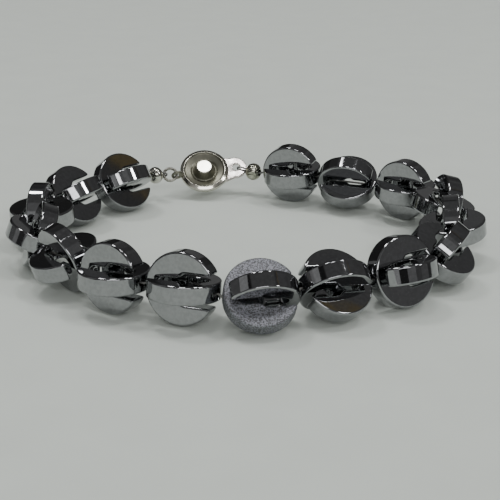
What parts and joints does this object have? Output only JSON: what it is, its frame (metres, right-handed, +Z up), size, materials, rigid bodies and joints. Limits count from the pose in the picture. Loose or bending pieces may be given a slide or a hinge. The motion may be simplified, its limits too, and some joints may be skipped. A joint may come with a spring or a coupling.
{
  "type": "hematite bracelet",
  "caption": "Bracelet of polished hematite beads, each made of two interlocked slotted discs, strung in a loop and closed by a round press-stud clasp.",
  "frame": {"origin": "Middle of the loop's outline, on the surface that the bracelet lies on.", "axes": "+Z is up, away from the surface. +X runs across the loop's longer way. +Y runs from the front beads to the clasp."},
  "size_m": [0.0748, 0.0668, 0.0104],
  "materials": {
    "hematite": "polished",
    "silver": "polished",
    "nickel": "worn polish",
    "tarnished_wire": "tarnished",
    "thread": "twisted"
  },
  "bodies": {
    "root": {"bead_01_disc_a": "hematite", "bead_01_disc_b": "hematite", "bead_02_disc_a": "hematite", "bead_02_disc_b": "hematite", "bead_03_disc_a": "hematite", "bead_03_disc_b": "hematite", "bead_04_disc_a": "hematite", "bead_04_disc_b": "hematite", "bead_05_disc_a": "hematite", "bead_05_disc_b": "hematite", "bead_06_disc_a": "hematite", "bead_06_disc_b": "hematite", "bead_07_disc_a": "hematite", "bead_07_disc_b": "hematite", "bead_08_disc_a": "hematite", "bead_08_disc_b": "hematite", "bead_09_disc_a": "hematite", "bead_09_disc_b": "hematite", "bead_10_disc_a": "hematite", "bead_10_disc_b": "hematite", "bead_11_disc_a": "hematite", "bead_11_disc_b": "hematite", "bead_12_disc_a": "hematite", "bead_12_disc_b": "hematite", "bead_13_disc_a": "hematite", "bead_13_disc_b": "hematite", "bead_14_disc_a": "hematite", "bead_14_disc_b": "hematite", "bead_15_disc_a": "hematite", "bead_15_disc_b": "hematite", "bead_16_disc_a": "hematite", "bead_16_disc_b": "hematite", "thread": "thread", "bead_silver_small": "silver", "bead_silver_large": "silver", "wire_ring": "tarnished_wire", "clasp_dish": "nickel", "clasp_tab": "silver"}
  },
  "joints": []
}
